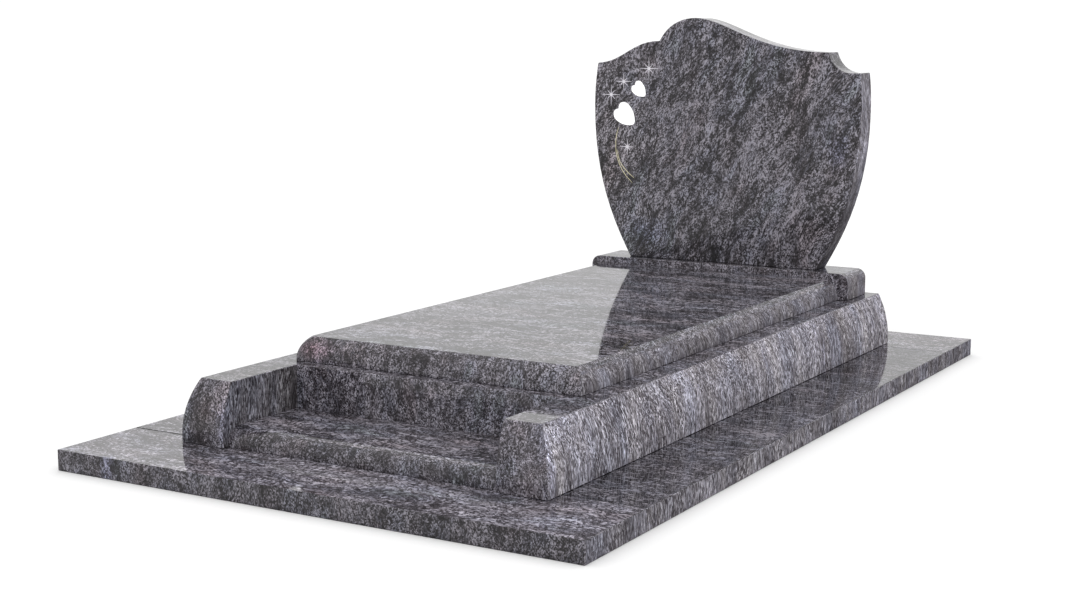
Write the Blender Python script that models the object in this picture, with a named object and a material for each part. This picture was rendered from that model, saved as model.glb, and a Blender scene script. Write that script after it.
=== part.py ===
"""Granite grave monument: a ground frame of slabs, two kerbs with a low step between them at the
foot, a ledger slab with rounded edges, and a headstone on its own base.

Metres, Z up. X runs across the grave, +Y points from the foot to the headstone, and the origin
is the centre of the ground frame's underside.
"""
import math

import bmesh
import bpy

# main sizes of the whole monument
FRAME_WIDTH = 1.40
FRAME_LENGTH = 2.46
MONUMENT_HEIGHT = 1.0379

# clearances
REST_GAP = 0.0003          # between pieces that rest on each other or butt together
ARRIS = 0.0015             # small polished chamfer along every sharp edge

# ground frame of four slabs, and how far it shows round the kerbs
FRAME_THICKNESS = 0.05
SIDE_MARGIN = 0.20
END_MARGIN = 0.20
END_SLAB_DEPTH = 0.256     # the front and rear slabs, measured along the grave

# kerbs along both sides, bellied on the outside and at the foot end
KERB_SET_WIDTH = FRAME_WIDTH - 2.0 * SIDE_MARGIN
KERB_LENGTH = FRAME_LENGTH - 2.0 * END_MARGIN
KERB_WIDTH = 0.128
KERB_HEIGHT = 0.152
KERB_UPRIGHT = 0.018       # straight height below the belly
KERB_BATTER = 0.034        # how far the belly leans in at the top
KERB_CORNER = 0.004        # plan radius of the outer corner at the foot end
STEP_BEARING = 0.042       # how far the side slabs reach in under the step and the beams
SIDE_SLAB_WIDTH = SIDE_MARGIN + KERB_WIDTH + STEP_BEARING

# cross beams between the kerbs
FRONT_BEAM_SETBACK = 0.272
BEAM_THICKNESS = 0.100

# low step at the foot
STEP_SETBACK = 0.015
STEP_HEIGHT = 0.045
STEP_NOSE = 0.040          # depth of the rounded front edge
STEP_LIP = 0.003           # straight height at the foot of that edge

# ledger
LEDGER_INSET = 0.095       # from the kerbs' outer faces
LEDGER_WIDTH = KERB_SET_WIDTH - 2.0 * LEDGER_INSET
LEDGER_THICKNESS = 0.060
LEDGER_SETBACK = 0.036     # behind the front beam's face
LEDGER_ROUND = 0.029       # how far the rounded edge leans in
LEDGER_LIP = 0.004         # straight height at the foot of the rounded edge
LEDGER_CORNER = 0.010      # plan radius of the two front corners

# headstone base
STONE_BASE_INSET = 0.064   # from the kerbs' outer faces
STONE_BASE_WIDTH = KERB_SET_WIDTH - 2.0 * STONE_BASE_INSET
STONE_BASE_DEPTH = 0.151
STONE_BASE_HEIGHT = 0.079
STONE_BASE_BACK = 0.0375   # its back face ahead of the kerbs' rear ends
STONE_BASE_ROUND = 0.028   # radius of its two upper ends

# headstone
STONE_SETBACK = 0.0385     # behind the front face of its base
STONE_THICKNESS = 0.080
STONE_WIDTH = 0.900 * KERB_SET_WIDTH
STONE_FOOT = FRAME_THICKNESS + KERB_HEIGHT + STONE_BASE_HEIGHT + 3.0 * REST_GAP
STONE_HEIGHT = MONUMENT_HEIGHT - STONE_FOOT
STONE_FOOT_WIDTH = 0.7044 * STONE_WIDTH
BELLY_HEIGHT = 0.6349 * STONE_HEIGHT           # where it is widest
LEFT_SHOULDER_WIDTH = 0.4872 * STONE_WIDTH     # from the middle, as are those below
LEFT_SHOULDER_HEIGHT = 0.8135 * STONE_HEIGHT
RIGHT_SHOULDER_WIDTH = 0.4922 * STONE_WIDTH
RIGHT_SHOULDER_HEIGHT = 0.7864 * STONE_HEIGHT
CUSP_OFFSET = 0.2444 * STONE_WIDTH             # the inner corner left of the crest
CUSP_HEIGHT = 0.9061 * STONE_HEIGHT
CREST_OFFSET = 0.1089 * STONE_WIDTH            # the highest point, left of the middle
NOTCH_OFFSET = 0.3789 * STONE_WIDTH            # where the right hand hollow starts
NOTCH_HEIGHT = 0.8657 * STONE_HEIGHT
LEDGE_WIDTH = 0.040 * STONE_WIDTH              # the short flat outside that hollow

# facets
CURVE_STEPS = 12
CORNER_STEPS = 6
PROFILE_STEPS = 10


def clear_scene():
    for item in list(bpy.data.objects):
        bpy.data.objects.remove(item, do_unlink=True)


def granite(name, colour, roughness):
    material = bpy.data.materials.new(name)
    material.use_nodes = True
    shader = material.node_tree.nodes["Principled BSDF"]
    shader.inputs["Base Color"].default_value = (*colour, 1.0)
    shader.inputs["Roughness"].default_value = roughness
    shader.inputs["Metallic"].default_value = 0.0
    material.diffuse_color = (*colour, 1.0)
    return material


def finish(name, bm, material, crisp=True):
    """Turn a closed bmesh into a named object with polished arrises."""
    bmesh.ops.recalc_face_normals(bm, faces=bm.faces)
    mesh = bpy.data.meshes.new(name)
    bm.to_mesh(mesh)
    bm.free()
    item = bpy.data.objects.new(name, mesh)
    bpy.context.scene.collection.objects.link(item)
    mesh.materials.append(material)
    mesh.shade_smooth()
    mesh.set_sharp_from_angle(angle=math.radians(28))
    if crisp:
        arris = item.modifiers.new("arris", "BEVEL")
        arris.width = ARRIS
        arris.segments = 1
        arris.limit_method = "ANGLE"
        arris.angle_limit = math.radians(32)
        arris.harden_normals = False
    return item


def stack_rings(name, rings, material):
    """Join rings of equally many corners, lowest first, into one closed body."""
    bm = bmesh.new()
    rows = [[bm.verts.new(corner) for corner in ring] for ring in rings]
    count = len(rows[0])
    for low, high in zip(rows, rows[1:]):
        for i in range(count):
            j = (i + 1) % count
            bm.faces.new((low[i], low[j], high[j], high[i]))
    bm.faces.new(list(reversed(rows[0])))
    bm.faces.new(rows[-1])
    return finish(name, bm, material)


def block(name, x0, x1, y0, y1, z0, z1, material):
    rings = []
    for z in (z0, z1):
        rings.append([(x0, y0, z), (x1, y0, z), (x1, y1, z), (x0, y1, z)])
    return stack_rings(name, rings, material)


def slab_from_outline(name, outline, y0, y1, material):
    """A slab standing up, cut to an outline of (x, z) points."""
    rings = []
    for y in (y0, y1):
        rings.append([(x, y, z) for x, z in outline])
    return stack_rings(name, rings, material)


def belly(lean, upright, height):
    """(height, inset) pairs up a face that stands straight and then leans in along an arc."""
    rise = height - upright
    radius = (rise * rise + lean * lean) / (2.0 * lean)
    pairs = [(0.0, 0.0)]
    for i in range(PROFILE_STEPS + 1):
        up = rise * i / PROFILE_STEPS
        inset = radius - math.sqrt(radius * radius - up * up)
        pairs.append((upright + up, inset))
    return pairs


def quarter_round(lean, upright, height):
    """(height, inset) pairs up an edge that ends level, as a quarter of an ellipse."""
    rise = height - upright
    pairs = [(0.0, 0.0)]
    for i in range(PROFILE_STEPS + 1):
        turn = 0.5 * math.pi * i / PROFILE_STEPS
        pairs.append((upright + rise * math.sin(turn), lean * (1.0 - math.cos(turn))))
    return pairs


def curve(start, end, first, second, steps=CURVE_STEPS):
    """Cubic curve from start to end, without its start. The handles are given as shares of the
    way across and the way up."""
    wide = end[0] - start[0]
    tall = end[1] - start[1]
    a = (start[0] + first[0] * wide, start[1] + first[1] * tall)
    b = (start[0] + second[0] * wide, start[1] + second[1] * tall)
    points = []
    for i in range(1, steps + 1):
        t = i / steps
        s = 1 - t
        weights = (s * s * s, 3.0 * s * s * t, 3.0 * s * t * t, t * t * t)
        x = sum(w * p[0] for w, p in zip(weights, (start, a, b, end)))
        z = sum(w * p[1] for w, p in zip(weights, (start, a, b, end)))
        points.append((x, z))
    return points


def headstone_outline():
    """The front view of the headstone, anticlockwise from its right foot, foot at height 0."""
    half_foot = STONE_FOOT_WIDTH / 2.0
    half_belly = STONE_WIDTH / 2.0
    right_foot = (half_foot, 0.0)
    right_belly = (half_belly, BELLY_HEIGHT)
    right_shoulder = (RIGHT_SHOULDER_WIDTH, RIGHT_SHOULDER_HEIGHT)
    ledge = (RIGHT_SHOULDER_WIDTH - LEDGE_WIDTH, RIGHT_SHOULDER_HEIGHT)
    notch = (NOTCH_OFFSET, NOTCH_HEIGHT)
    crest = (-CREST_OFFSET, STONE_HEIGHT)
    cusp = (-CUSP_OFFSET, CUSP_HEIGHT)
    left_shoulder = (-LEFT_SHOULDER_WIDTH, LEFT_SHOULDER_HEIGHT)
    left_belly = (-half_belly, BELLY_HEIGHT)
    left_foot = (-half_foot, 0.0)
    points = [right_foot]
    points += curve(right_foot, right_belly, (0.474, 0.229), (1.0, 0.521))
    points += curve(right_belly, right_shoulder, (0.0, 0.4), (0.4, 0.75), 5)
    points.append(ledge)
    points += list(reversed(curve(notch, ledge, (0.117, 0.49), (0.467, 0.94), 8)))[1:]
    points.append(notch)
    points += list(reversed(curve(crest, notch, (0.224, 0.0), (0.451, 1.0), 18)))[1:]
    points.append(crest)
    points += list(reversed(curve(cusp, crest, (0.181, 0.608), (0.535, 1.0), 10)))[1:]
    points.append(cusp)
    points += list(reversed(curve(left_shoulder, cusp, (0.428, 0.077), (0.543, 1.0))))[1:]
    points.append(left_shoulder)
    points += list(reversed(curve(left_belly, left_shoulder, (0.0, 0.4), (0.4, 0.75), 5)))[1:]
    points.append(left_belly)
    points += list(reversed(curve(left_foot, left_belly, (0.474, 0.229), (1.0, 0.521))))[1:]
    points.append(left_foot)
    return points


def build_frame(material):
    half = FRAME_WIDTH / 2.0
    front = -FRAME_LENGTH / 2.0
    rear = FRAME_LENGTH / 2.0
    top = FRAME_THICKNESS
    block("front_base_slab", -half, half, front, front + END_SLAB_DEPTH, 0.0, top, material)
    block("rear_base_slab", -half, half, rear - END_SLAB_DEPTH, rear, 0.0, top, material)
    side_front = front + END_SLAB_DEPTH + REST_GAP
    side_rear = rear - END_SLAB_DEPTH - REST_GAP
    inner = half - SIDE_SLAB_WIDTH
    block("left_base_slab", -half, -inner, side_front, side_rear, 0.0, top, material)
    block("right_base_slab", inner, half, side_front, side_rear, 0.0, top, material)


def build_kerb(name, side, foot, material):
    """side is -1 for the left kerb and 1 for the right one."""
    outer = KERB_SET_WIDTH / 2.0
    inner = outer - KERB_WIDTH
    front = -KERB_LENGTH / 2.0
    rear = KERB_LENGTH / 2.0
    rings = []
    for up, inset in belly(KERB_BATTER, KERB_UPRIGHT, KERB_HEIGHT):
        z = foot + up
        centre_x = outer - inset - KERB_CORNER
        centre_y = front + inset + KERB_CORNER
        ring = [(side * inner, rear, z), (side * inner, front + inset, z)]
        for i in range(CORNER_STEPS + 1):
            turn = 0.5 * math.pi * i / CORNER_STEPS
            x = centre_x + KERB_CORNER * math.sin(turn)
            y = centre_y - KERB_CORNER * math.cos(turn)
            ring.append((side * x, y, z))
        ring.append((side * (outer - inset), rear, z))
        rings.append(ring)
    return stack_rings(name, rings, material)


def build_step(foot, material):
    half = KERB_SET_WIDTH / 2.0 - KERB_WIDTH - REST_GAP
    front = -KERB_LENGTH / 2.0 + STEP_SETBACK
    rear = -KERB_LENGTH / 2.0 + FRONT_BEAM_SETBACK - REST_GAP
    rings = []
    for up, inset in quarter_round(STEP_NOSE, STEP_LIP, STEP_HEIGHT):
        z = foot + up
        y = front + inset
        rings.append([(-half, y, z), (half, y, z), (half, rear, z), (-half, rear, z)])
    return stack_rings("front_step", rings, material)


def build_beams(foot, material):
    half = KERB_SET_WIDTH / 2.0 - KERB_WIDTH - REST_GAP
    front = -KERB_LENGTH / 2.0 + FRONT_BEAM_SETBACK
    rear = KERB_LENGTH / 2.0
    top = foot + KERB_HEIGHT
    block("front_beam", -half, half, front, front + BEAM_THICKNESS, foot, top, material)
    block("rear_beam", -half, half, rear - BEAM_THICKNESS, rear, foot, top, material)


def build_ledger(foot, material):
    half = LEDGER_WIDTH / 2.0
    front = -KERB_LENGTH / 2.0 + FRONT_BEAM_SETBACK + LEDGER_SETBACK
    rear = KERB_LENGTH / 2.0 - STONE_BASE_BACK - STONE_BASE_DEPTH - REST_GAP
    rings = []
    for up, inset in belly(LEDGER_ROUND, LEDGER_LIP, LEDGER_THICKNESS):
        z = foot + up
        side = half - inset
        centre_x = side - LEDGER_CORNER
        centre_y = front + inset + LEDGER_CORNER
        ring = [(side, rear, z), (-side, rear, z)]
        for i in range(CORNER_STEPS + 1):
            turn = 0.5 * math.pi * i / CORNER_STEPS
            x = -centre_x - LEDGER_CORNER * math.cos(turn)
            y = centre_y - LEDGER_CORNER * math.sin(turn)
            ring.append((x, y, z))
        for i in range(CORNER_STEPS + 1):
            turn = 0.5 * math.pi * i / CORNER_STEPS
            x = centre_x + LEDGER_CORNER * math.sin(turn)
            y = centre_y - LEDGER_CORNER * math.cos(turn)
            ring.append((x, y, z))
        rings.append(ring)
    return stack_rings("ledger", rings, material)


def build_headstone_base(foot, material):
    half = STONE_BASE_WIDTH / 2.0
    rear = KERB_LENGTH / 2.0 - STONE_BASE_BACK
    outline = [(-half, foot), (half, foot)]
    top = foot + STONE_BASE_HEIGHT
    for side in (1.0, -1.0):
        for i in range(CORNER_STEPS + 3):
            turn = 0.5 * math.pi * i / (CORNER_STEPS + 2)
            if side < 0.0:
                turn = 0.5 * math.pi - turn
            x = half - STONE_BASE_ROUND + STONE_BASE_ROUND * math.cos(turn)
            z = top - STONE_BASE_ROUND + STONE_BASE_ROUND * math.sin(turn)
            outline.append((side * x, z))
    return slab_from_outline("headstone_base", outline, rear - STONE_BASE_DEPTH, rear, material)


def build_headstone(foot, material):
    base_front = KERB_LENGTH / 2.0 - STONE_BASE_BACK - STONE_BASE_DEPTH
    front = base_front + STONE_SETBACK
    outline = [(x, foot + z) for x, z in headstone_outline()]
    return slab_from_outline("headstone", outline, front, front + STONE_THICKNESS, material)


def build():
    clear_scene()
    kerb_foot = FRAME_THICKNESS + REST_GAP
    top_foot = kerb_foot + KERB_HEIGHT + REST_GAP
    build_frame(granite("base_slab_granite", (0.115, 0.110, 0.122), 0.12))
    kerb_stone = granite("kerb_granite", (0.105, 0.100, 0.112), 0.12)
    build_kerb("left_kerb", -1.0, kerb_foot, kerb_stone)
    build_kerb("right_kerb", 1.0, kerb_foot, kerb_stone)
    build_beams(kerb_foot, granite("beam_granite", (0.085, 0.082, 0.092), 0.12))
    build_step(kerb_foot, granite("step_granite", (0.100, 0.096, 0.104), 0.12))
    build_ledger(top_foot, granite("ledger_granite", (0.105, 0.100, 0.110), 0.10))
    build_headstone_base(top_foot, granite("headstone_base_granite", (0.090, 0.086, 0.096), 0.12))
    build_headstone(STONE_FOOT, granite("headstone_granite", (0.085, 0.084, 0.096), 0.10))


build()
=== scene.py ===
"""Visual model of the granite grave monument: polished granite on every solid, and a headstone
whose front carries its shallow engraving of hearts, stars and stems."""
import math

import bmesh
import bpy
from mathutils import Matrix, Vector


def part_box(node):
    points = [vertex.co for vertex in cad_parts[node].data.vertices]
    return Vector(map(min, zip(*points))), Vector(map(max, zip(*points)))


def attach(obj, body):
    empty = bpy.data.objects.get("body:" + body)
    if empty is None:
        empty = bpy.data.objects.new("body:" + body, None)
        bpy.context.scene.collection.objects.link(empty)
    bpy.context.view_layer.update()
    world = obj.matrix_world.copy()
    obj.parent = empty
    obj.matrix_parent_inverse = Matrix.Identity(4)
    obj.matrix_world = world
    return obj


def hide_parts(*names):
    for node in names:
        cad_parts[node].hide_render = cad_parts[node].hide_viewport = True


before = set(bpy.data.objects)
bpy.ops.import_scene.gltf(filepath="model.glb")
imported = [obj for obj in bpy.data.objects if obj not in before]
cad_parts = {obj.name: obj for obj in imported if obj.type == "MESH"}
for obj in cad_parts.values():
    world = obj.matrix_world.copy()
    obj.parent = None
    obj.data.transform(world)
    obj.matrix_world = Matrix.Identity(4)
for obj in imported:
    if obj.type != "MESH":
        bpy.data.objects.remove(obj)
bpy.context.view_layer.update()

# camera, in metres and radians
PICTURE_WIDTH = 1092
SENSOR_MM = 36.0
FOCAL_PX = 1729.07
CAMERA_PLACE = (2.2534, -4.0082, 1.0292)
CAMERA_YAW = 0.5333
CAMERA_PITCH = 0.1573
CAMERA_REACH = 200.0

# surroundings: the sky's strength at each height, as shares of straight up, and the floor
SKY_BANDS = (
    (0.0, 1.06), (0.03, 1.03), (0.09, 0.92), (0.18, 0.92), (0.24, 1.12), (0.40, 1.0), (0.95, 1.5),
)
FLOOR_HALF = 40.0
FLOOR_DROP = 0.0005
FLOOR_ROUGHNESS = 0.9
FLOOR_COLOUR = (0.80, 0.80, 0.80, 1.0)
FLOOR_GLOW = 0.09

# engraving on the front of the headstone
ENGRAVED = 0.0012
CUTTER_OUT = 0.002
WHITE_PAINT = (1.0, 1.0, 1.0)
# the white paint also glows: painted light that makes it brighter than its lighting
WHITE_GLOW = 0.20
SILVER_PAINT = (0.78, 0.76, 0.81)
GILT_PAINT = (0.86, 0.82, 0.60)
PAINT_GRAIN = (260.0, 3.0, 0.6)
PAINT_DULL_SHARE = 0.95
PAINT_ROUGHNESS = (0.30, 0.45)
STAR_CORE = 0.0048
STAR_RAY_FOOT_HALF = 0.0015
STAR_RAY_END_HALF = 0.0005
STAR_SLANTING_SHARE = 0.62      # length of a slanting ray
STEM_HALF = 0.0010
STEM_END_SHARE = 0.55           # width of a stem's ends


def picture_camera():
    data = bpy.data.cameras.new("picture_camera")
    data.sensor_width = SENSOR_MM
    data.lens = SENSOR_MM * FOCAL_PX / PICTURE_WIDTH
    data.clip_end = CAMERA_REACH
    camera = bpy.data.objects.new("picture_camera", data)
    bpy.context.scene.collection.objects.link(camera)
    camera.location = CAMERA_PLACE
    camera.rotation_euler = (0.5 * math.pi - CAMERA_PITCH, 0.0, CAMERA_YAW)
    bpy.context.scene.camera = camera


def surroundings():
    world = bpy.data.worlds.new("white_studio")
    bpy.context.scene.world = world
    world.use_nodes = True
    tree = world.node_tree
    background = tree.nodes["Background"]
    background.inputs["Color"].default_value = (1.0, 1.0, 1.0, 1.0)
    place = tree.nodes.new("ShaderNodeTexCoord")
    split = tree.nodes.new("ShaderNodeSeparateXYZ")
    rise = tree.nodes.new("ShaderNodeFloatCurve")
    curve = rise.mapping.curves[0]
    top = SKY_BANDS[-1][1]
    curve.points[0].location = (0.0, SKY_BANDS[0][1] / top)
    curve.points[1].location = (SKY_BANDS[-1][0], 1.0)
    for height, strength in SKY_BANDS[1:-1]:
        curve.points.new(height, strength / top)
    for point in curve.points:
        point.handle_type = "VECTOR"
    rise.mapping.update()
    gain = tree.nodes.new("ShaderNodeMath")
    gain.operation = "MULTIPLY"
    gain.inputs[1].default_value = top
    tree.links.new(place.outputs["Generated"], split.inputs["Vector"])
    tree.links.new(split.outputs["Z"], rise.inputs["Value"])
    tree.links.new(rise.outputs["Value"], gain.inputs[0])
    tree.links.new(gain.outputs["Value"], background.inputs["Strength"])
    bpy.context.scene.view_settings.view_transform = "Standard"
    mesh = bpy.data.meshes.new("floor")
    half = FLOOR_HALF
    corners = [(-half, -half, 0.0), (half, -half, 0.0), (half, half, 0.0), (-half, half, 0.0)]
    mesh.from_pydata(corners, [], [(0, 1, 2, 3)])
    floor = bpy.data.objects.new("floor", mesh)
    bpy.context.scene.collection.objects.link(floor)
    floor.location.z = -FLOOR_DROP
    material = bpy.data.materials.new("floor_white")
    material.use_nodes = True
    shader = material.node_tree.nodes["Principled BSDF"]
    shader.inputs["Base Color"].default_value = FLOOR_COLOUR
    shader.inputs["Roughness"].default_value = FLOOR_ROUGHNESS
    shader.inputs["Specular IOR Level"].default_value = 0.0
    shader.inputs["Emission Color"].default_value = (1.0, 1.0, 1.0, 1.0)
    shader.inputs["Emission Strength"].default_value = FLOOR_GLOW
    mesh.materials.append(material)


class Nodes:
    """Short ways to add and join shader nodes."""

    def __init__(self, name):
        self.material = bpy.data.materials.new(name)
        self.material.use_nodes = True
        self.tree = self.material.node_tree
        self.shader = self.tree.nodes["Principled BSDF"]
        self.place = self.add("ShaderNodeTexCoord").outputs["Object"]

    def add(self, kind, **settings):
        node = self.tree.nodes.new(kind)
        for key, value in settings.items():
            setattr(node, key, value)
        return node

    def join(self, source, target):
        if isinstance(source, (int, float, tuple)):
            target.default_value = source
        else:
            self.tree.links.new(source, target)

    def mapping(self, vector, location=(0, 0, 0), rotation=(0, 0, 0), scale=(1, 1, 1)):
        node = self.add("ShaderNodeMapping")
        self.join(vector, node.inputs["Vector"])
        node.inputs["Location"].default_value = location
        node.inputs["Rotation"].default_value = rotation
        node.inputs["Scale"].default_value = scale
        return node.outputs["Vector"]

    def noise(self, vector, scale, detail=2.0, roughness=0.5, distortion=0.0):
        node = self.add("ShaderNodeTexNoise")
        self.join(vector, node.inputs["Vector"])
        node.inputs["Scale"].default_value = scale
        node.inputs["Detail"].default_value = detail
        node.inputs["Roughness"].default_value = roughness
        node.inputs["Distortion"].default_value = distortion
        return node.outputs["Fac"]

    def marking(self, vector, kind, stretch=(1, 1, 1)):
        shift, *settings = kind
        return self.noise(self.mapping(vector, shift, scale=stretch), *settings)

    def crystals(self, vector, scale):
        """A random number for each crystal."""
        node = self.add("ShaderNodeTexVoronoi")
        self.join(vector, node.inputs["Vector"])
        node.inputs["Scale"].default_value = scale
        split = self.add("ShaderNodeSeparateColor")
        self.join(node.outputs["Color"], split.inputs["Color"])
        return split.outputs["Red"]

    def wave(self, vector, scale, reach):
        """The same place, pushed about by a slow noise, so that streaks flow instead of running
        straight."""
        noise = self.add("ShaderNodeTexNoise")
        self.join(vector, noise.inputs["Vector"])
        noise.inputs["Scale"].default_value = scale
        noise.inputs["Detail"].default_value = 1.0
        centred = self.add("ShaderNodeVectorMath", operation="SUBTRACT")
        self.join(noise.outputs["Color"], centred.inputs[0])
        centred.inputs[1].default_value = (0.5, 0.5, 0.5)
        sized = self.add("ShaderNodeVectorMath", operation="SCALE")
        self.join(centred.outputs["Vector"], sized.inputs[0])
        sized.inputs["Scale"].default_value = reach
        moved = self.add("ShaderNodeVectorMath", operation="ADD")
        self.join(vector, moved.inputs[0])
        self.join(sized.outputs["Vector"], moved.inputs[1])
        return moved.outputs["Vector"]

    def maths(self, operation, a, b=0.0, clamp=False):
        node = self.add("ShaderNodeMath", operation=operation, use_clamp=clamp)
        self.join(a, node.inputs[0])
        self.join(b, node.inputs[1])
        return node.outputs["Value"]

    def spread(self, value, low, high, to_low=0.0, to_high=1.0):
        node = self.add("ShaderNodeMapRange", clamp=True)
        self.join(value, node.inputs["Value"])
        for key, number in (("From Min", low), ("From Max", high), ("To Min", to_low),
                            ("To Max", to_high)):
            node.inputs[key].default_value = number
        return node.outputs["Result"]

    def ramp(self, value, stops):
        node = self.add("ShaderNodeValToRGB")
        self.join(value, node.inputs["Fac"])
        band = node.color_ramp
        for at, _ in stops[1:-1]:
            band.elements.new(at)
        for element, (at, colour) in zip(band.elements, stops):
            element.position = at
            element.color = (*colour, 1.0)
        return node.outputs["Color"]

    def choose(self, share, a, b):
        """One of two places."""
        node = self.add("ShaderNodeMix", data_type="VECTOR")
        self.join(share, node.inputs[0])
        self.join(a, node.inputs[4])
        self.join(b, node.inputs[5])
        return node.outputs[1]

    def mixed(self, share, a, b):
        """A number between two numbers."""
        node = self.add("ShaderNodeMix", data_type="FLOAT")
        self.join(share, node.inputs[0])
        self.join(a, node.inputs[2])
        self.join(b, node.inputs[3])
        return node.outputs[0]

    def distance(self, vector, centre, reach):
        """How far a place is from centre, in shares of reach along X, Y and Z."""
        scale = tuple(1.0 / part for part in reach)
        offset = tuple(-c * part for c, part in zip(centre, scale))
        node = self.add("ShaderNodeVectorMath", operation="LENGTH")
        self.join(self.mapping(vector, offset, scale=scale), node.inputs[0])
        return node.outputs["Value"]

    def layered(self, layers):
        """The sum of (noise, weight) layers, each about nought."""
        value = 0.0
        for noise, weight in layers:
            part = self.maths("MULTIPLY", self.maths("SUBTRACT", noise, 0.5), weight)
            value = self.maths("ADD", part, value)
        return value

    def faced(self, level, side, numbers):
        """The one of three numbers that is for this face: front, side or top."""
        return self.mixed(level, self.mixed(side, numbers[0], numbers[1]), numbers[2])

    def scaled(self, colour, number):
        node = self.add("ShaderNodeVectorMath", operation="SCALE")
        self.join(colour, node.inputs[0])
        self.join(number, node.inputs["Scale"])
        return node.outputs["Vector"]

    def mix(self, share, a, b, blend="MIX"):
        node = self.add("ShaderNodeMix", data_type="RGBA", blend_type=blend)
        self.join(share, node.inputs[0])
        self.join(a, node.inputs[6])
        self.join(b, node.inputs[7])
        return node.outputs[2]


GRAIN_STOPS = (
    (0.00, (0.009, 0.008, 0.009)),
    (0.28, (0.026, 0.023, 0.026)),
    (0.44, (0.050, 0.046, 0.051)),
    (0.54, (0.104, 0.098, 0.109)),
    (0.68, (0.186, 0.179, 0.202)),
    (1.00, (0.450, 0.438, 0.485)),
)
TINT_STOPS = (
    (0.00, (1.06, 0.97, 0.98)),
    (0.30, (1.02, 0.98, 1.01)),
    (0.60, (1.00, 0.98, 1.02)),
    (0.80, (0.97, 0.98, 1.07)),
    (1.00, (0.94, 1.01, 1.02)),
)
SIDE_TINT_STOPS = (
    (0.00, (1.01, 1.00, 0.95)),
    (0.50, (0.99, 0.99, 0.99)),
    (1.00, (0.96, 1.00, 1.06)),
)
# a face's kind by its normal, as the ranges over which it changes from one kind to the next
LEVEL_NORMAL_Z = (0.88, 0.92)
SIDE_NORMAL_X = (0.60, 0.80)
DULL_NORMAL_X = (-0.60, -0.40)
DOWNWARD_NORMAL_Z = (-0.35, -0.10)
SAWN_NORMAL_Z = (-0.90, -0.70)
# how far each seed shifts the markings along X, Y and Z
SEED_SHIFT = (1.37, 2.11, 0.73)
# markings of the stone, each as (shift, scale, detail, roughness, distortion)
GRAIN = ((8.0, 1.0, 6.0), 240.0, 2.0, 0.75, 0.8)
FLAME = ((5.0, 3.0, 9.0), 62.0, 3.0, 0.65, 0.8)
CLUSTER = ((4.0, 6.0, 1.0), 27.0, 3.0, 0.65, 1.4)
MOTTLE = ((2.0, 7.0, 4.0), 12.0, 2.0, 0.55, 0.5)
HUE = ((3.1, 1.7, 5.3), 14.0, 2.0, 0.55)
VEIN = ((7.7, 2.9, 4.1), 40.0, 3.0, 0.6)
VEINED_AREA = ((1.9, 8.3, 2.2), 8.0, 1.0)
SPECK_SCALE = 430.0
WAVE_SCALE = 6.0
WAVE_REACH = 0.07
SIDE_STRETCH = (1.0, 0.95, 0.13)
TOP_STRETCH = (0.27, 0.80, 1.0)
SPECK_STRETCH = (1.0, 1.0, 1.3)
TOP_SPECK_STRETCH = (1.4, 0.5, 1.0)
FRONT_GRAIN_STRETCH = (1.15, 1.15, 1.35)
SIDE_GRAIN_STRETCH = (1.3, 1.3, 1.9)
TOP_GRAIN_STRETCH = (1.6, 0.75, 1.0)
VEIN_STRETCH = (1.0, 1.0, 0.45)
# strengths of the markings, some of them on fronts, sides and tops
BROAD_SHARES = (1.0, 0.6, 0.9)
SPECK_SHARES = (0.58, 0.36, 0.36)
GRAIN_SHARE = 1.05
CLUSTER_RANGE = (0.36, 0.64)
CLUSTERED_GRAIN = (0.60, 1.40)  # strength of the fine grain between clusters and in them
MOTTLE_SHARE = 0.50
HUE_RANGE = (0.30, 0.70)
VEINED_RANGE = (0.48, 0.62)
VEIN_SHARE = 0.55
VEIN_HALF = 0.014
VEIN_COLOUR = (0.260, 0.255, 0.320, 1.0)
VALUE_REACH = 0.38
LEAN = math.radians(-6.0)       # of the right kerb's grain
TILT = math.radians(-27.0)      # of the headstone's grain
JOINT_COLOUR = (0.015, 0.015, 0.016, 1.0)
JOINT_HALF = 0.0022
JOINT_EDGE = 0.001
JOINTED_X = (-0.1, 0.1)         # filled to the left of here
JOINT_ROUGHNESS = 0.9
STONE_IOR = 1.38
STONE_SPECULAR = 0.5
POLISH_ROUGHNESS = (0.025, 0.065)
SPECK_BUMP = 0.04
SPECK_BUMP_DEPTH = 0.0003
# faces turned downward are painted this much darker: painted shade
DOWNWARD_PAINTED_SHADE = 0.5
SAWN_TONE = 2.1
SAWN_ROUGHNESS = 0.55
PATCH_RANGE = (0.3, 1.2)        # in shares of its reach
PATCH_EDGE = (45.0, 3.0, 0.7)
PATCH_EDGE_REACH = 1.2
# patches painted lighter or darker, as (centre, reach, gain): most are painted highlights,
# reflections, light and shade
SLAB_PAINTED_HIGHLIGHT_PATCHES = (
    # painted highlight: a light bluish band down the front left corner of the front slab
    ((-0.545, -1.230, 0.025), (0.020, 0.020, 0.060), (1.9, 2.0, 2.3)),
    # painted reflection: a small light patch on the front slab's top near its front edge
    ((-0.005, -1.222, 0.050), (0.026, 0.014, 0.010), (1.5, 1.5, 1.5)),
)
KERB_PAINTED_LIGHT_PATCHES = (
    # painted highlight: a light bluish band down the right kerb's rounded front corner
    ((0.495, -1.008, 0.120), (0.030, 0.016, 0.120), (1.26, 1.30, 1.42)),
    # painted reflection: a light patch on the front end of the right kerb's top
    ((0.470, -0.970, 0.185), (0.050, 0.060, 0.030), (1.05, 1.07, 1.12)),
    # painted light: the far part of the right kerb's side made lighter
    ((0.500, 0.450, 0.120), (0.080, 0.240, 0.110), (1.15, 1.16, 1.18)),
)
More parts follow.
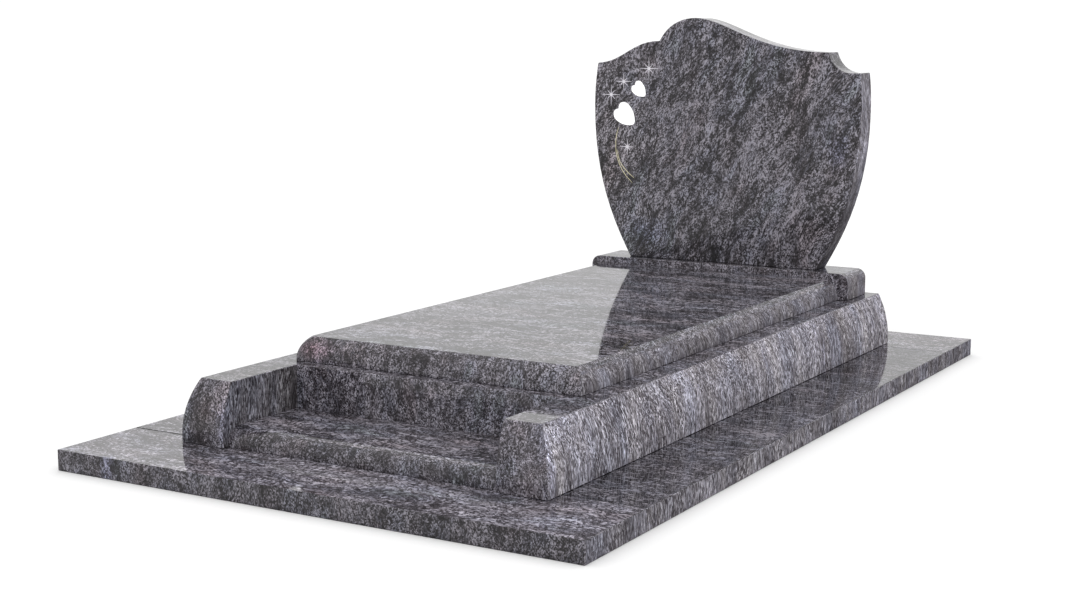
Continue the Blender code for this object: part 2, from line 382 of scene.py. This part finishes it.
LEFT_KERB_PAINTED_HIGHLIGHT_PATCHES = (
    # painted highlight: a light bluish band down the left kerb's front corner on its inner side
    ((-0.378, -1.030, 0.120), (0.018, 0.030, 0.060), (1.24, 1.27, 1.38)),
    # a slightly darker, warmer area beside it
    ((-0.440, -1.030, 0.120), (0.035, 0.040, 0.060), (0.98, 0.95, 0.90)),
)
LEDGER_PATCHES = (
    ((-0.340, -0.718, 0.235), (0.060, 0.040, 0.030), (1.28, 1.02, 1.06)),
)
# painted light and shade on the headstone's front
HEADSTONE_PAINTED_LIGHT_AND_SHADE = (
    # painted light: its upper left made lighter
    ((-0.400, 0.870, 0.650), (0.170, 0.500, 0.330), (1.38, 1.38, 1.34)),
    # painted shade: a darker band low down, above the ledger
    ((0.000, 0.870, 0.300), (0.400, 0.500, 0.070), (0.90, 0.90, 0.91)),
    # small lighter bluish spots
    ((-0.250, 0.870, 0.365), (0.070, 0.500, 0.045), (1.20, 1.28, 1.42)),
    ((0.380, 0.870, 0.640), (0.035, 0.500, 0.055), (1.20, 1.25, 1.45)),
)


def granite(name, seed, tones_with_painted_light, contrasts, tilt=0.0, lean=0.0, stretch=0.55, flames=0.60,
            clusters=0.65, side_rise=(0.60, 0.75), joints=(), patches=()):
    """Polished granite. Its grain runs along Z on standing faces, turned by tilt seen from the
    front and by lean seen from the side, and along X on level ones. Tones are for fronts, sides
    and tops: they set the stone's brightness and paint light and shade, each kind of face lighter
    or darker for how light falls on it. Contrasts are for fronts, sides and tops too. Stretch is
    that of the front's grain, and flames and clusters are the strengths of the streaks and of their
    groups. A face counts as a side up to a normal's Z of side_rise. Joints are places along Y that
    are filled, on the left half only. Patches are areas painted lighter or darker, most of them
    painted highlights, reflections, light and shade."""
    n = Nodes(name)
    shift = tuple(seed * part for part in SEED_SHIFT)
    facing = n.add("ShaderNodeSeparateXYZ")
    n.join(n.add("ShaderNodeNewGeometry").outputs["Normal"], facing.inputs["Vector"])
    level = n.spread(facing.outputs["Z"], *LEVEL_NORMAL_Z)
    side = n.spread(n.maths("ABSOLUTE", facing.outputs["X"]), *SIDE_NORMAL_X)
    side = n.maths("MULTIPLY", side, n.spread(facing.outputs["Z"], *side_rise, 1.0, 0.0))
    flowing = n.wave(n.place, WAVE_SCALE, WAVE_REACH)
    front_place = n.mapping(n.mapping(flowing, shift, (0.0, tilt, 0.0)), scale=(1.0, 1.0, stretch))
    side_place = n.mapping(n.mapping(flowing, shift, (lean, 0.0, 0.0)), scale=SIDE_STRETCH)
    top_place = n.mapping(n.mapping(flowing, shift), scale=TOP_STRETCH)
    place = n.choose(level, n.choose(side, front_place, side_place), top_place)

    crystal = n.mapping(place, scale=SPECK_STRETCH)
    crystal = n.choose(level, crystal, n.mapping(place, scale=TOP_SPECK_STRETCH))
    speck = n.crystals(crystal, SPECK_SCALE)
    finer = n.mapping(place, scale=FRONT_GRAIN_STRETCH)
    finer = n.choose(side, finer, n.mapping(place, scale=SIDE_GRAIN_STRETCH))
    finer = n.choose(level, finer, n.mapping(place, scale=TOP_GRAIN_STRETCH))
    grain = n.marking(finer, GRAIN)
    flame = n.marking(place, FLAME)
    cluster = n.marking(place, CLUSTER)
    mottle = n.marking(place, MOTTLE)
    fine = n.layered(((speck, n.faced(level, side, SPECK_SHARES)), (grain, GRAIN_SHARE)))
    broad = n.layered(((flame, flames), (cluster, clusters), (mottle, MOTTLE_SHARE)))
    fine = n.maths("MULTIPLY", fine, n.spread(cluster, *CLUSTER_RANGE, *CLUSTERED_GRAIN))
    value = n.maths("ADD", fine, n.maths("MULTIPLY", broad, n.faced(level, side, BROAD_SHARES)))
    value = n.maths("MULTIPLY", value, n.faced(level, side, contrasts))
    colour = n.ramp(n.spread(value, -VALUE_REACH, VALUE_REACH), GRAIN_STOPS)
    hue = n.spread(n.marking(place, HUE), *HUE_RANGE)
    tint = n.mix(side, n.ramp(hue, TINT_STOPS), n.ramp(hue, SIDE_TINT_STOPS))
    colour = n.mix(1.0, colour, tint, "MULTIPLY")
    line = n.maths("SUBTRACT", n.marking(place, VEIN, VEIN_STRETCH), 0.5)
    vein = n.spread(n.maths("ABSOLUTE", line), 0.0, VEIN_HALF, 1.0, 0.0)
    vein = n.maths("MULTIPLY", vein, n.spread(n.marking(place, VEINED_AREA), *VEINED_RANGE))
    colour = n.mix(n.maths("MULTIPLY", vein, VEIN_SHARE), colour, VEIN_COLOUR)
    # painted light and shade: fronts, sides and tops each take their own tone for how light falls
    # on them, and faces turned downward are painted darker still
    down = n.spread(facing.outputs["Z"], *DOWNWARD_NORMAL_Z, 1.0, 0.0)
    tone_with_painted_light = n.faced(level, side, tones_with_painted_light)
    colour = n.scaled(colour, n.maths("MULTIPLY", tone_with_painted_light, n.mixed(down, 1.0, DOWNWARD_PAINTED_SHADE)))
    # patches: areas painted lighter or darker, most of them painted highlights, reflections, light
    # and shade
    for centre, reach, gain in patches:
        edge = n.noise(n.mapping(n.place, centre), *PATCH_EDGE)
        edge = n.maths("MULTIPLY", n.maths("SUBTRACT", edge, 0.5), PATCH_EDGE_REACH)
        away = n.maths("ADD", n.distance(n.place, centre, reach), edge)
        here = n.spread(away, *PATCH_RANGE, 1.0, 0.0)
        colour = n.mix(here, colour, n.mix(1.0, colour, (*gain, 1.0), "MULTIPLY"))
    polish = n.spread(speck, 0.0, 1.0, *POLISH_ROUGHNESS)
    under = n.spread(facing.outputs["Z"], *SAWN_NORMAL_Z, 1.0, 0.0)
    colour = n.scaled(colour, n.mixed(under, 1.0, SAWN_TONE))
    polish = n.maths("ADD", polish, n.maths("MULTIPLY", under, SAWN_ROUGHNESS))
    where = n.add("ShaderNodeSeparateXYZ")
    n.join(n.place, where.inputs["Vector"])
    open_side = n.spread(where.outputs["X"], *JOINTED_X, 1.0, 0.0)
    for joint in joints:
        away = n.maths("ABSOLUTE", n.maths("SUBTRACT", where.outputs["Y"], joint))
        filled = n.spread(away, JOINT_HALF, JOINT_HALF + JOINT_EDGE, 1.0, 0.0)
        filled = n.maths("MULTIPLY", filled, open_side)
        colour = n.mix(filled, colour, JOINT_COLOUR)
        polish = n.maths("ADD", polish, n.maths("MULTIPLY", filled, JOINT_ROUGHNESS))
    n.join(colour, n.shader.inputs["Base Color"])
    n.join(polish, n.shader.inputs["Roughness"])
    n.shader.inputs["IOR"].default_value = STONE_IOR
    # faces to the sides and downward ones don't mirror
    leftward = n.spread(facing.outputs["X"], *DULL_NORMAL_X, 1.0, 0.0)
    dull = n.maths("MAXIMUM", side, leftward)
    mirror = n.mixed(dull, n.mixed(down, STONE_SPECULAR, 0.0), 0.0)
    n.join(mirror, n.shader.inputs["Specular IOR Level"])
    bump = n.add("ShaderNodeBump")
    bump.inputs["Strength"].default_value = SPECK_BUMP
    bump.inputs["Distance"].default_value = SPECK_BUMP_DEPTH
    n.join(speck, bump.inputs["Height"])
    n.join(bump.outputs["Normal"], n.shader.inputs["Normal"])
    return n.material


def paint(name, colour, seed, glow=0.0):
    """Filling of the engraving: slightly uneven paint, whose glow is painted light that brightens
    it.
    """
    n = Nodes(name)
    uneven = n.noise(n.mapping(n.place, location=(seed, seed, seed)), *PAINT_GRAIN)
    dull = tuple(PAINT_DULL_SHARE * part for part in colour)
    shade = n.ramp(n.spread(uneven, 0.35, 0.65), ((0.0, dull), (0.5, colour), (1.0, colour)))
    n.join(shade, n.shader.inputs["Base Color"])
    n.join(n.spread(uneven, 0.3, 0.7, *PAINT_ROUGHNESS), n.shader.inputs["Roughness"])
    n.shader.inputs["Emission Color"].default_value = (1.0, 1.0, 1.0, 1.0)
    n.shader.inputs["Emission Strength"].default_value = glow
    return n.material


def dress(node, material):
    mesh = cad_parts[node].data
    mesh.materials.clear()
    mesh.materials.append(material)


# engraving, as (across, up) points on the front of the headstone, from the middle of its foot:
# half a heart about its axis, each heart's cleft and tip, each star's centre and reach, the stems
HEART_HALF = (
    (0.000, 0.000), (0.0055, -0.0045), (0.0120, -0.0070), (0.0190, -0.0065), (0.0264, -0.0015),
    (0.0316, 0.007), (0.0332, 0.017), (0.0320, 0.028), (0.0288, 0.040), (0.0232, 0.051),
    (0.0160, 0.0605), (0.0080, 0.0690), (0.0020, 0.0718),
)
HEARTS = (((-0.3631, 0.4713), (-0.3077, 0.4243)), ((-0.3052, 0.5468), (-0.2693, 0.5130)))
STARS = (
    (-0.2564, 0.5990, 0.034), (-0.3455, 0.5570, 0.028), (-0.3905, 0.5150, 0.032),
    (-0.3311, 0.3505, 0.026),
)
STEMS = (
    ((-0.3627, 0.4125), (-0.3700, 0.3900), (-0.3729, 0.3672), (-0.3728, 0.3470), (-0.3708, 0.3279),
     (-0.3655, 0.3090), (-0.3582, 0.2916), (-0.3470, 0.2730), (-0.3336, 0.2558), (-0.3129, 0.2369)),
    ((-0.3668, 0.3400), (-0.3640, 0.3210), (-0.3583, 0.3037), (-0.3490, 0.2900), (-0.3374, 0.2771),
     (-0.3225, 0.2640), (-0.3061, 0.2522)),
)


def heart_outline(cleft, tip):
    axis = Vector((tip[0] - cleft[0], tip[1] - cleft[1]))
    size = axis.length / HEART_HALF[-1][1]
    axis.normalize()
    across = Vector((-axis.y, axis.x))
    right = [Vector(cleft) + size * (a * across + b * axis) for a, b in HEART_HALF]
    left = [Vector(cleft) + size * (b * axis - a * across) for a, b in reversed(HEART_HALF[1:])]
    return right + left


def star_outline(x, z, reach):
    points = []
    middle = Vector((x, z))
    for ray in range(8):
        turn = 0.25 * math.pi * ray + 0.5 * math.pi
        length = reach if ray % 2 == 0 else STAR_SLANTING_SHARE * reach
        out = Vector((math.cos(turn), math.sin(turn)))
        side = Vector((-out.y, out.x))
        points.append(middle + STAR_CORE * out - STAR_RAY_FOOT_HALF * side)
        points.append(middle + length * out - STAR_RAY_END_HALF * side)
        points.append(middle + length * out + STAR_RAY_END_HALF * side)
        points.append(middle + STAR_CORE * out + STAR_RAY_FOOT_HALF * side)
    return points


def stem_outline(points):
    left = []
    right = []
    last = len(points) - 1
    for i, point in enumerate(points):
        before = Vector(points[max(i - 1, 0)])
        after = Vector(points[min(i + 1, last)])
        along = (after - before).normalized()
        side = Vector((-along.y, along.x))
        width = STEM_HALF * (STEM_END_SHARE if i in (0, last) else 1.0)
        left.append(Vector(point) + width * side)
        right.append(Vector(point) - width * side)
    return left + right[::-1]


def cutter(name, outline, front, foot, material):
    bm = bmesh.new()
    rows = []
    for y in (front - CUTTER_OUT, front + ENGRAVED):
        rows.append([bm.verts.new((p[0], y, foot + p[1])) for p in outline])
    bm.faces.new(rows[0])
    bm.faces.new(rows[1][::-1])
    count = len(outline)
    for i in range(count):
        j = (i + 1) % count
        bm.faces.new((rows[0][i], rows[1][i], rows[1][j], rows[0][j]))
    bmesh.ops.recalc_face_normals(bm, faces=bm.faces)
    mesh = bpy.data.meshes.new(name)
    bm.to_mesh(mesh)
    bm.free()
    mesh.materials.append(material)
    item = bpy.data.objects.new(name, mesh)
    bpy.context.scene.collection.objects.link(item)
    return item


def engraved_headstone(stone):
    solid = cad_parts["headstone"]
    low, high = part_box("headstone")
    mesh = solid.data.copy()
    mesh.materials.clear()
    mesh.materials.append(stone)
    piece = bpy.data.objects.new("engraved_headstone", mesh)
    bpy.context.scene.collection.objects.link(piece)
    white = paint("engraving_white", WHITE_PAINT, 1.0, glow=WHITE_GLOW)
    silver = paint("engraving_silver", SILVER_PAINT, 2.0)
    gold = paint("engraving_gilt", GILT_PAINT, 3.0)
    cutters = []
    for i, (cleft, tip) in enumerate(HEARTS):
        cutters.append(cutter(f"cut_heart_{i}", heart_outline(cleft, tip), low.y, low.z, white))
    for i, star in enumerate(STARS):
        cutters.append(cutter(f"cut_star_{i}", star_outline(*star), low.y, low.z, silver))
    for i, stem in enumerate(STEMS):
        cutters.append(cutter(f"cut_stem_{i}", stem_outline(stem), low.y, low.z, gold))
    for tool in cutters:
        cut = piece.modifiers.new(tool.name, "BOOLEAN")
        cut.operation = "DIFFERENCE"
        cut.solver = "EXACT"
        cut.material_mode = "TRANSFER"
        cut.object = tool
    bpy.context.view_layer.update()
    depsgraph = bpy.context.evaluated_depsgraph_get()
    made = bpy.data.meshes.new_from_object(piece.evaluated_get(depsgraph))
    piece.modifiers.clear()
    piece.data = made
    for tool in cutters:
        bpy.data.objects.remove(tool, do_unlink=True)
    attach(piece, "root")
    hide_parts("headstone")
    return piece


picture_camera()
surroundings()

# tones and contrasts of fronts, sides and tops: the tones set the stone's brightness and paint
# light and shade, each piece and each kind of face lighter or darker for how light falls on it
SLAB_LOOKS = {
    "front": ((0.54, 1.50, 1.17), (1.00, 0.62, 1.00)),
    "rear": ((0.65, 1.60, 1.00), (0.95, 0.62, 1.20)),
    "left": ((0.70, 1.40, 1.12), (0.95, 0.62, 1.50)),
    "right": ((0.65, 1.60, 0.50), (0.95, 0.74, 1.50)),
}
joints = (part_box("left_base_slab")[0].y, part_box("left_base_slab")[1].y)
for seed, (where, (tones_with_painted_light, contrasts)) in enumerate(SLAB_LOOKS.items(), 1):
    patches = SLAB_PAINTED_HIGHLIGHT_PATCHES if where == "front" else ()
    stone = granite(f"granite_{where}_slab", seed, tones_with_painted_light, contrasts, joints=joints, patches=patches)
    dress(f"{where}_base_slab", stone)
dress("left_kerb", granite("granite_left_kerb", 5.0, (1.00, 1.32, 0.57), (0.76, 0.80, 2.1),
                           patches=LEFT_KERB_PAINTED_HIGHLIGHT_PATCHES))
dress("right_kerb", granite("granite_right_kerb", 6.0, (1.09, 2.70, 0.85), (0.74, 0.82, 1.30),
                            lean=LEAN, flames=0.45, clusters=0.3, patches=KERB_PAINTED_LIGHT_PATCHES))
dress("front_step", granite("granite_step", 7.0, (0.77, 0.77, 0.90), (0.82, 0.82, 1.20)))
dress("front_beam", granite("granite_front_beam", 8.0, (0.93, 0.93, 0.93), (0.92, 0.92, 1.0)))
dress("rear_beam", granite("granite_rear_beam", 9.0, (0.85, 0.85, 0.85), (1.0, 1.0, 1.0)))
dress("ledger", granite("granite_ledger", 10.0, (0.81, 2.00, 0.77), (0.92, 0.58, 1.50),
                        flames=0.7, patches=LEDGER_PATCHES))
dress("headstone_base", granite("granite_headstone_base", 11.0, (1.03, 2.00, 0.80),
                                (0.90, 0.34, 1.10), flames=0.7))
engraved_headstone(granite("granite_headstone", 12.0, (0.745, 2.05, 1.0), (1.05, 0.52, 1.0),
                           tilt=TILT, stretch=0.36, flames=0.85, clusters=0.9,
                           side_rise=(0.10, 0.30), patches=HEADSTONE_PAINTED_LIGHT_AND_SHADE))
